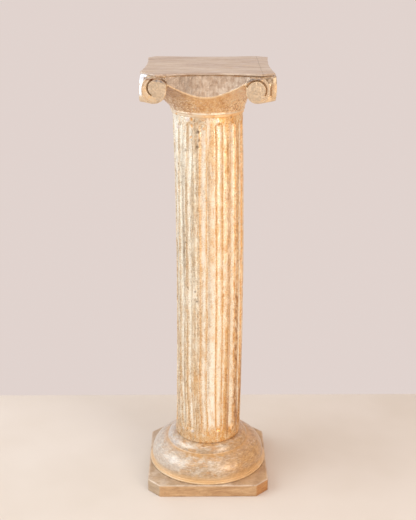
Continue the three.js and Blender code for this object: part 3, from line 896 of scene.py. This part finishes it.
class Finish:
    """A node material, painted in steps. Sizes and places are in millimetres, colours from 0 to 255."""

    def __init__(self, name):
        self.material = bpy.data.materials.new(name)
        self.material.use_nodes = True
        self.tree = self.material.node_tree
        self.shader = self.tree.nodes["Principled BSDF"]
        self.coordinates = self.tree.nodes.new("ShaderNodeTexCoord").outputs["Object"]
        self.colour = None

    def node(self, kind, **settings):
        made = self.tree.nodes.new(kind)
        for key, value in settings.items():
            setattr(made, key, value)
        return made

    def link(self, value, socket):
        """Feeds a socket from another one, or sets it to a number or a colour."""
        if isinstance(value, bpy.types.NodeSocket):
            self.tree.links.new(value, socket)
        else:
            socket.default_value = rgb(*value) if isinstance(value, tuple) else value

    def place(self, stretch=(1, 1, 1), shift=(0, 0, 0)):
        mapping = self.node("ShaderNodeMapping")
        self.link(self.coordinates, mapping.inputs["Vector"])
        mapping.inputs["Scale"].default_value = stretch
        mapping.inputs["Location"].default_value = shift
        return mapping.outputs["Vector"]

    def noise(self, size, detail=3.0, stretch=(1, 1, 1), shift=0.0, roughness=0.55, distortion=0.0):
        made = self.node("ShaderNodeTexNoise")
        self.link(self.place(stretch, (shift, shift * 0.7, shift * 1.3)), made.inputs["Vector"])
        made.inputs["Scale"].default_value = 1000 / size
        made.inputs["Detail"].default_value = detail
        made.inputs["Roughness"].default_value = roughness
        made.inputs["Distortion"].default_value = distortion
        return made.outputs["Fac"]

    def cells(self, size, shift):
        made = self.node("ShaderNodeTexVoronoi")
        self.link(self.place(shift=(shift, shift, shift)), made.inputs["Vector"])
        made.inputs["Scale"].default_value = 1000 / size
        return made.outputs["Distance"]

    def mark(self, name):
        return self.node("ShaderNodeAttribute", attribute_name=name).outputs["Fac"]

    def ramp(self, value, low, high, to_low=0.0, to_high=1.0):
        made = self.node("ShaderNodeMapRange", interpolation_type="SMOOTHSTEP")
        self.link(value, made.inputs["Value"])
        for key, number in (("From Min", low), ("From Max", high), ("To Min", to_low), ("To Max", to_high)):
            made.inputs[key].default_value = number
        return made.outputs["Result"]

    def math(self, operation, first, *others):
        for other in others:
            made = self.node("ShaderNodeMath", operation=operation)
            self.link(first, made.inputs[0])
            self.link(other, made.inputs[1])
            first = made.outputs["Value"]
        return first

    def times(self, *values):
        return self.math("MULTIPLY", *values)

    def mix(self, factor, a, b, mode="MIX"):
        made = self.node("ShaderNodeMix", data_type="RGBA", blend_type=mode)
        self.link(factor, made.inputs["Factor"])
        self.link(a, made.inputs["A"])
        self.link(b, made.inputs["B"])
        return made.outputs["Result"]

    def mottled(self, noise, low, high, a, b):
        """Two colours in patches: a where the noise is low and b where it is high."""
        return self.mix(self.ramp(noise, low, high), a, b)

    def paint(self, colour, *amounts):
        """Covers what is painted so far with a colour, by the product of the amounts."""
        self.colour = self.mix(self.times(*amounts), self.colour, colour)

    def grain(self, noise, low, high, dark, pale, strength):
        """Darkens and lightens what is painted so far with the two colours of a grain."""
        grain = self.mottled(noise, low, high, dark, pale)
        self.colour = self.mix(strength, self.colour, grain, "SOFT_LIGHT")

    def axis(self, name, ragged=None, by=0.0):
        """A coordinate. A noise given as ragged shifts it by as much as by."""
        made = self.node("ShaderNodeSeparateXYZ")
        self.link(self.coordinates, made.inputs["Vector"])
        place = made.outputs[name]
        return place if ragged is None else self.math("ADD", place, self.times(ragged, by / 1000))

    def along(self, name, low, high, to_low=0.0, to_high=1.0, ragged=None, by=0.0):
        """A smooth step between two places on an axis."""
        return self.ramp(self.axis(name, ragged, by), low / 1000, high / 1000, to_low, to_high)

    def beside(self, place, middle, low, high, to_low=0.0, to_high=1.0):
        """A smooth step between two distances from a middle, on both of its sides."""
        off = self.math("ABSOLUTE", self.math("SUBTRACT", place, middle / 1000), 0.0)
        return self.ramp(off, low / 1000, high / 1000, to_low, to_high)

    def sheen(self, size, low, high):
        """Roughness that goes from low to high in patches."""
        return self.ramp(self.noise(size, 4, shift=23), 0.35, 0.65, low, high)

    def bump(self, height, strength, distance, after=None):
        made = self.node("ShaderNodeBump")
        self.link(height, made.inputs["Height"])
        made.inputs["Strength"].default_value = strength
        made.inputs["Distance"].default_value = distance / 1000
        if after is not None:
            self.link(after, made.inputs["Normal"])
        return made.outputs["Normal"]

    def done(self, roughness, metallic, normal, coat=0.0):
        self.link(self.colour, self.shader.inputs["Base Color"])
        self.link(roughness, self.shader.inputs["Roughness"])
        self.link(metallic, self.shader.inputs["Metallic"])
        self.link(normal, self.shader.inputs["Normal"])
        self.shader.inputs["Coat Weight"].default_value = coat
        self.shader.inputs["Coat Roughness"].default_value = 0.3
        return self.material


def shaft_finish():
    f = Finish("shaft_leaf")
    gold = f.mottled(f.noise(30, 4), 0.38, 0.62, (228, 180, 124), (244, 212, 168))
    silver = f.mottled(f.noise(18, 5, (1, 1, 0.5), 3), 0.4, 0.6, (216, 204, 184), (196, 176, 150))
    # Silver leaf on the left and gold on the right, with a ragged border. The split is partly the leaf's own
    # and partly painted light, cool from the left and warm from the right.
    aside = f.math("ADD", f.times(f.axis("X"), 9.0), f.times(f.noise(45, 4, (1, 1, 0.35), 9), 1.1))
    f.colour = f.mix(f.ramp(aside, 0.0, 0.85), silver, gold)
    # The leaf turns more golden towards the foot
    low = f.along("Z", 750, 200, ragged=f.noise(60, 3, shift=6), by=300)
    f.paint((212, 164, 100), low, f.along("X", 0, -50, 0.3, 0.48))
    patchy = f.ramp(f.noise(11, 5, (1, 1, 0.35), 27), 0.3, 0.5, 0.35, 1.0)
    # Pale cream on the flats, partly worn leaf and partly a painted reflection
    f.paint((255, 247, 230), f.mark("cream"), patchy)
    f.paint((255, 246, 230), f.ramp(f.noise(7, 5, (1, 1, 0.14), 5), 0.5, 0.66), 0.6)
    # Orange on the sides of the flutes, partly bole where the leaf is rubbed off and partly painted shade on
    # the flute walls, and a painted highlight along their middles
    broken = f.ramp(f.noise(14, 4, (1, 1, 0.25), 37), 0.3, 0.5, 0.45, 1.0)
    bole = f.mix(f.along("X", -40, 10), (204, 168, 122), (216, 158, 90))
    f.paint(bole, f.mark("side"), broken, f.along("X", -70, 0, 0.4, 0.9))
    bright = f.ramp(f.noise(9, 5, (1, 1, 0.3), 41), 0.34, 0.54, 0.3, 1.0)
    f.paint((255, 248, 232), f.mark("middle"), bright)
    # A painted highlight along the flutes' edges
    f.paint((255, 246, 228), f.mark("lip"), f.times(bright, 0.8))
    # Painted highlight streaks
    f.paint((255, 244, 222), f.mark("highlight_streak"), f.math("ADD", bright, 0.2))
    # Plain bands over and under the flutes
    orange = f.ramp(f.noise(13, 5, (1, 1, 0.6), 11), 0.5, 0.64)
    top = f.times(f.along("Z", 915, 930), f.along("X", -50, 20, 0.3, 0.75))
    foot = f.along("Z", 155, 140)
    f.paint((222, 162, 90), orange, f.math("MAXIMUM", top, f.times(foot, 0.8), 0.2))
    scratched = f.ramp(f.noise(3.5, 5, (1.6, 1.6, 0.9), 13, 0.7), 0.46, 0.6)
    f.paint((200, 152, 96), scratched, foot, 0.55)
    # Tarnish, grey to the left and brown to the right
    dull = f.mix(f.along("X", -10, 40), (138, 118, 94), (150, 94, 42))
    speckle = f.ramp(f.noise(6, 6, (1, 1, 0.4), 17, 0.7), 0.42, 0.58, 0.1, 1.0)
    f.paint(dull, f.mark("tarnish"), speckle, 0.8)
    streaked = f.ramp(f.noise(6, 5, (1, 1, 0.25), 43, 0.7), 0.34, 0.54, 0.35, 1.0)
    dim = f.mix(f.along("X", -10, 40), (150, 130, 104), (162, 108, 54))
    f.paint(dim, f.mark("dull_streak"), streaked)
    specks = f.ramp(f.noise(5, 6, (1, 1, 0.35), 19, 0.7), 0.58, 0.65)
    f.paint((132, 108, 80), specks, f.times(f.along("X", 20, -50, 0.3, 1.0), 0.8))
    f.paint((220, 208, 200), f.mark("pale_spot"), 0.85)
    f.paint((220, 154, 78), f.mark("orange_spot"), 0.8)
    f.paint((104, 88, 72), f.mark("dark_spot"), 0.85)
    f.grain(f.noise(2.6, 3, shift=19), 0.36, 0.64, (112, 92, 72), (255, 252, 244), 0.6)
    normal = f.bump(f.noise(5, 4, shift=29), 0.8, 0.7)
    normal = f.bump(f.cells(3.5, 4), 0.5, 0.5, normal)
    return f.done(f.sheen(12, 0.24, 0.48), 0.5, normal)


def moulding_finish():
    f = Finish("moulding_leaf")
    silver = f.mottled(f.noise(16, 5), 0.4, 0.6, (196, 180, 160), (174, 150, 122))
    gold = f.mottled(f.noise(14, 5, shift=2), 0.38, 0.62, (194, 148, 94), (172, 128, 78))
    # Gold low down, on the right and where the silver is worn through. The gold low down is partly a painted
    # warm reflection from the floor, and the gold on the right partly painted warm light.
    low = f.along("Z", 78, 46, ragged=f.noise(30, 3, shift=3), by=30)
    right = f.along("X", 50, 170, ragged=f.noise(40, 3, shift=5), by=120)
    worn = f.ramp(f.noise(20, 6, (0.8, 0.8, 2.0), 7, 0.7), 0.45, 0.65)
    gilded = f.math("MAXIMUM", f.times(low, 0.5), f.times(worn, 0.85), f.times(right, 0.85))
    f.colour = f.mix(gilded, silver, gold)
    # Painted cool light: paler on the left, with a painted highlight on the ring's left
    left = f.along("X", 20, -60, ragged=f.noise(30, 5, shift=6), by=120)
    f.paint((192, 184, 176), left, 0.65)
    f.paint((190, 190, 196), left, f.along("Z", 88, 94), 0.45)
    # Thin brushed lines round the torus, gold and pale
    f.paint((210, 164, 102), f.ramp(f.noise(6, 6, (0.3, 0.3, 4.5), 21, 0.7), 0.54, 0.62), 0.4)
    f.paint((232, 220, 202), f.ramp(f.noise(6, 6, (0.3, 0.3, 4.5), 24, 0.7), 0.56, 0.64), 0.45)
    brushed = f.noise(5, 6, (0.6, 0.6, 2.0), 9, 0.75)
    f.grain(brushed, 0.36, 0.64, (124, 106, 88), (255, 250, 240), 0.5)
    f.paint((160, 116, 74), f.ramp(f.noise(5, 5, shift=17, roughness=0.65), 0.6, 0.7), 0.35)
    f.paint((216, 166, 100), f.mark("hollow"), 0.6)
    # Painted warm reflection from the floor on the torus's lower part
    f.paint((240, 206, 156), f.along("Z", 56, 42), 0.45)
    normal = f.bump(f.noise(8, 5, (0.4, 0.4, 3.4), 29), 0.6, 0.5)
    normal = f.bump(f.noise(5, 4, shift=31), 0.6, 0.5, normal)
    return f.done(f.sheen(16, 0.3, 0.46), 0.15, normal, coat=1.0)


def plinth_finish():
    f = Finish("plinth_leaf")
    # The sides, with silver on the cut corner at the left and brown on the one at the right
    f.colour = f.mottled(f.noise(30, 5, (0.5, 0.5, 2)), 0.35, 0.65, (204, 170, 132), (186, 150, 112))
    f.paint((180, 162, 140), f.along("X", -114.5, -119, ragged=f.noise(20, 3, shift=5), by=10), 0.8)
    f.paint((182, 128, 76), f.along("X", 119, 124), 0.8)
    side = f.colour
    f.colour = f.mottled(f.noise(26, 5, shift=2), 0.38, 0.62, (200, 182, 162), (182, 158, 132))
    f.paint((186, 148, 108), f.along("X", 30, 110), 0.7)
    f.colour = f.mix(f.along("Z", 30, 31.2), side, f.colour)
    # Painted highlight along the top rim
    f.paint((220, 204, 188), f.mark("ridge_highlight"), 0.5)
    f.grain(f.noise(6, 5, (0.2, 0.2, 1.5), 9, 0.65), 0.35, 0.65, (126, 108, 90), (250, 240, 225), 0.4)
    f.paint((136, 104, 76), f.ramp(f.noise(5, 5, shift=15, roughness=0.65), 0.6, 0.68), 0.5)
    normal = f.bump(f.noise(8, 4, (0.4, 0.4, 1.5), 29), 0.5, 0.4)
    return f.done(f.sheen(16, 0.36, 0.58), 0.25, normal)


def capital_finish():
    f = Finish("capital_leaf")
    silver = f.mottled(f.noise(13, 4), 0.38, 0.62, (206, 188, 170), (188, 166, 146))
    # The bell's gold, with painted shade making it browner on the left and painted light making it paler on
    # the right
    f.colour = f.mottled(f.noise(20, 4, shift=2), 0.35, 0.65, (224, 182, 132), (210, 164, 112))
    f.paint((184, 148, 112), f.along("X", 0, -60, ragged=f.noise(30, 3, shift=7), by=40))
    f.paint((242, 204, 158), f.along("X", 20, 80))
    gold = f.colour
    orange = f.ramp(f.noise(14, 5, shift=6), 0.52, 0.66)
    f.colour = f.mottled(f.noise(12, 4, shift=4), 0.4, 0.6, (212, 182, 146), (198, 176, 152))
    f.paint((212, 158, 102), orange, 0.7)
    f.paint(silver, f.mark("face"))
    f.paint(gold, f.mark("gild"))
    # Strokes of the gouge, pale where they rubbed and brown in between
    strokes = f.noise(6, 5, (1, 1, 0.45), 9, 0.65)
    f.grain(strokes, 0.36, 0.64, (120, 100, 84), (255, 250, 242), 0.45)
    f.paint((238, 224, 206), f.ramp(f.noise(7, 5, shift=12, distortion=1.5), 0.58, 0.66), 0.45)
    # Curls on the bell, fewer high up and in front
    chiselled = f.times(f.mark("gild"), f.along("Z", 1000, 972, 0.1, 1.0))
    chiselled = f.times(chiselled, f.beside(f.axis("X"), 8, 12, 55, 0.35, 1.0))
    curled = f.ramp(f.noise(11, 4, (1, 1, 1.5), 14, 0.5, 2.5), 0.5, 0.57)
    f.paint((250, 230, 198), f.times(curled, chiselled), 0.75)
    cut_lines = f.ramp(f.noise(11, 4, (1, 1, 1.5), 34, 0.5, 2.5), 0.48, 0.4)
    f.paint((164, 112, 66), f.times(cut_lines, chiselled), 0.85)
    # Painted shade dims the crescent faces on the left, and the scrolls are stippled
    shade_off_disc = f.math("SUBTRACT", 0.62, f.times(f.mark("disc"), 0.62))
    f.paint((134, 116, 102), f.times(f.mark("face"), f.along("X", -5, -50)), shade_off_disc)
    f.paint((131, 121, 116), f.mark("disc"), f.ramp(f.noise(4, 3, shift=15), 0.42, 0.56, 0.45, 1.0))
    bands = f.mottled(f.noise(8, 4, shift=16), 0.42, 0.58, (212, 172, 122), (198, 178, 156))
    f.paint(bands, f.mark("band"), 0.85)
    f.paint((150, 104, 62), f.ramp(f.noise(5, 5, shift=17, roughness=0.65), 0.62, 0.7), 0.45)
    # Painted shade in the spiral grooves, the thin rim lines, the pocket and the gap under the board, darkest
    # where the grooves start
    f.paint(f.mix(f.mark("deep"), (150, 88, 42), (58, 34, 22)), f.mark("hollow"))
    # Painted highlight along the edge where the faces meet the bell
    f.paint((236, 208, 168), f.mark("ridge_highlight"), 0.5)
    # The neck is gilded as the shaft's top is and painted lighter against the lip's shadow, and the lip over
    # it gets a painted highlight
    neck = f.mix(f.along("X", -50, 10), (226, 206, 180), (246, 206, 154))
    neck = f.mix(f.times(orange, 0.8), neck, (222, 160, 90))
    f.paint(neck, f.along("Z", 950.5, 949.5), 0.9)
    f.paint((255, 246, 226), f.mark("lip"), f.ramp(f.noise(14, 4, shift=19), 0.35, 0.55, 0.35, 1.0))
    # The cut corners in front: streaked at the right, and at the left a cool near-white painted highlight
    streaked = f.mottled(f.noise(7, 5, (0.5, 0.5, 2.0), 25), 0.42, 0.6, (186, 170, 152), (112, 92, 72))
    f.paint(streaked, f.mark("grey"), 0.9)
    f.paint((242, 247, 255), f.mark("white_highlight"))
    return f.done(f.sheen(14, 0.28, 0.5), 0.35, f.bump(f.noise(4, 4, shift=29), 0.6, 0.5))


def board_finish():
    f = Finish("board_leaf")
    f.colour = f.mottled(f.noise(40, 4, (0.3, 1, 1)), 0.38, 0.62, (196, 178, 160), (184, 164, 147))
    f.grain(f.noise(7, 6, (0.07, 1.3, 1), 9, 0.65), 0.35, 0.65, (128, 112, 100), (255, 250, 244), 0.5)
    f.paint((214, 204, 198), f.ramp(f.noise(16, 4, (0.3, 1.4, 1), 12), 0.58, 0.7), 0.45)
    f.paint((204, 172, 134), f.ramp(f.noise(18, 4, (0.4, 1.4, 1), 14), 0.58, 0.7), 0.4)
    # The seam between two planks, from the front to the back
    wavy = f.axis("X", f.noise(60, 3, shift=3), 6)
    f.paint((130, 112, 96), f.beside(wavy, PLANK_SEAM_X, 1.2, 0.3), 0.5)
    normal = f.bump(f.noise(5, 4, (0.12, 1, 1), 29), 0.5, 0.4)
    return f.done(f.sheen(16, 0.36, 0.55), 0.2, normal)


def floor_finish():
    f = Finish("floor")
    f.colour = f.mottled(f.noise(400, 3), 0.3, 0.7, (214, 204, 192), (220, 211, 201))
    return f.done(0.7, 0.0, f.bump(f.noise(60, 3, shift=5), 0.1, 0.5))


# Pieces

finish_piece(make_plinth(), "plinth", plinth_finish())
finish_piece(make_moulding(), "base_moulding", moulding_finish())
finish_piece(make_shaft(), "shaft", shaft_finish())
finish_piece(make_capital(), "capital", capital_finish())
finish_piece(make_board(), "abacus_board", board_finish())


# Floor, light and camera


def make_floor():
    count = 41
    x, y = np.meshgrid(np.linspace(-3000, 3000, count), np.linspace(-3200, 400, count))
    points = np.stack([x, y, 0 * x], -1).reshape(-1, 3) * 0.001
    faces = []
    for r in range(count - 1):
        for c in range(count - 1):
            a = r * count + c
            faces.append((a, a + 1, a + count + 1, a + count))
    mesh = bpy.data.meshes.new("floor")
    mesh.from_pydata(points.tolist(), [], faces)
    mesh.materials.append(floor_finish())
    floor = bpy.data.objects.new("floor", mesh)
    bpy.context.scene.collection.objects.link(floor)


def add_light(name, place, target, size, power, colour):
    data = bpy.data.lights.new(name, "AREA")
    data.shape = "RECTANGLE"
    data.size, data.size_y = size
    data.energy = power
    data.color = colour
    lamp = bpy.data.objects.new(name, data)
    lamp.location = place
    lamp.rotation_euler = (Vector(place) - Vector(target)).to_track_quat("Z", "Y").to_euler()
    bpy.context.scene.collection.objects.link(lamp)


make_floor()
add_light("window", (-2.2, -0.6, 1.7), (0, 0, 0.6), (2.2, 2.2), 44, (0.84, 0.93, 1.0))
add_light("ceiling", (0.3, -0.9, 3.2), (0, 0, 0.8), (2.4, 2.4), 18, (0.95, 0.98, 1.0))
add_light("room", (1.9, -2.3, 1.3), (0, 0, 0.6), (1.6, 2.0), 38, (1.0, 0.92, 0.82))


def light_world():
    """A pale room: cool and bright to the left, and darker and warmer to the right."""
    world = bpy.data.worlds.new("room")
    bpy.context.scene.world = world
    world.use_nodes = True
    tree = world.node_tree
    background = tree.nodes["Background"]
    direction = tree.nodes.new("ShaderNodeSeparateXYZ")
    tree.links.new(tree.nodes.new("ShaderNodeTexCoord").outputs["Generated"], direction.inputs["Vector"])
    colour = rgb(230, 216, 211)
    for start, full, wanted in ((-0.3, -0.85, rgb(244, 246, 250)), (0.3, 0.85, rgb(214, 186, 160))):
        share = tree.nodes.new("ShaderNodeMapRange")
        share.interpolation_type = "SMOOTHSTEP"
        tree.links.new(direction.outputs["X"], share.inputs["Value"])
        share.inputs["From Min"].default_value = start
        share.inputs["From Max"].default_value = full
        mixed = tree.nodes.new("ShaderNodeMix")
        mixed.data_type = "RGBA"
        tree.links.new(share.outputs["Result"], mixed.inputs["Factor"])
        if isinstance(colour, bpy.types.NodeSocket):
            tree.links.new(colour, mixed.inputs["A"])
        else:
            mixed.inputs["A"].default_value = colour
        mixed.inputs["B"].default_value = wanted
        colour = mixed.outputs["Result"]
    tree.links.new(colour, background.inputs["Color"])
    background.inputs["Strength"].default_value = 0.95


light_world()

# The camera as worked out from the photograph: lens and sensor in millimetres, place in metres, and
# its tilt up from straight down and its turn, in degrees
LENS = 68.6
SENSOR_WIDTH = 36
CAMERA_PLACE = (-0.0158, -2.289, 1.389)
CAMERA_TILT = 70.42
CAMERA_TURN = -0.42

camera_data = bpy.data.cameras.new("camera")
camera_data.lens = LENS
camera_data.sensor_width = SENSOR_WIDTH
camera = bpy.data.objects.new("camera", camera_data)
camera.location = CAMERA_PLACE
camera.rotation_euler = (math.radians(CAMERA_TILT), 0, math.radians(CAMERA_TURN))
bpy.context.scene.collection.objects.link(camera)
bpy.context.scene.camera = camera
bpy.context.scene.view_settings.view_transform = "Standard"
